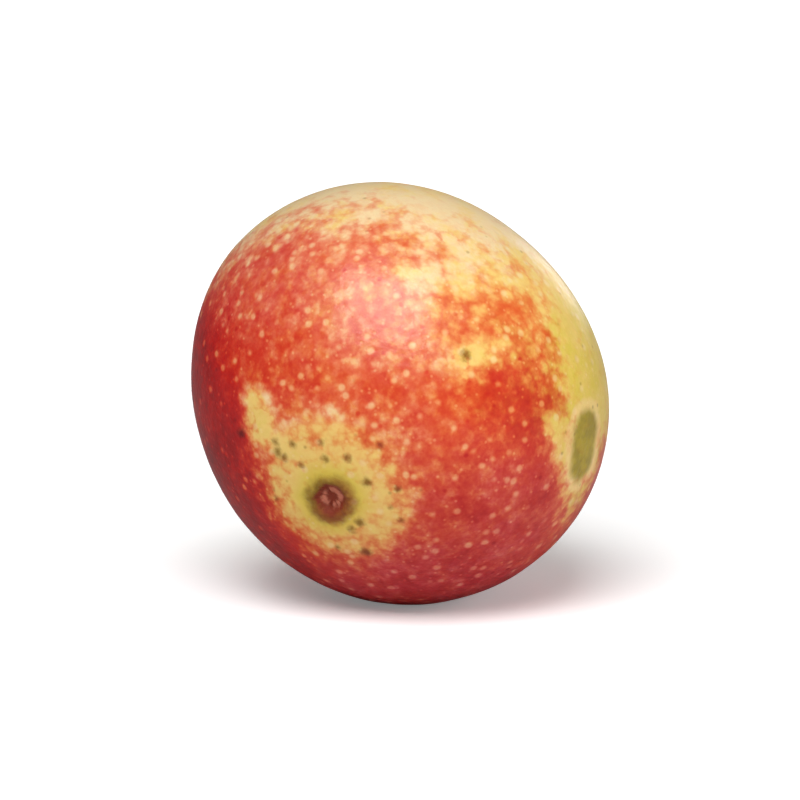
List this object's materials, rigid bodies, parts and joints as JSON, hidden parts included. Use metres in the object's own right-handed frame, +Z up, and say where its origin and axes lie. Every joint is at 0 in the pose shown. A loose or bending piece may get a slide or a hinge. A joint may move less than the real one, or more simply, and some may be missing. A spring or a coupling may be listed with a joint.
{
  "type": "camu camu fruit",
  "caption": "Round tropical berry with thin skin, a sunken stem scar, a raised corky blossom ring and a small flat spot to rest on.",
  "frame": {"origin": "on the resting plane, under the middle of the fruit's box", "axes": "+Z up; -Y is the front, where the stem scar shows, and Y is the fruit's narrowest way; +X to the right"},
  "size_m": [0.025, 0.0236, 0.0252],
  "materials": {
    "skin": "satin"
  },
  "bodies": {
    "root": {"camu_camu_fruit": "skin"}
  },
  "joints": []
}
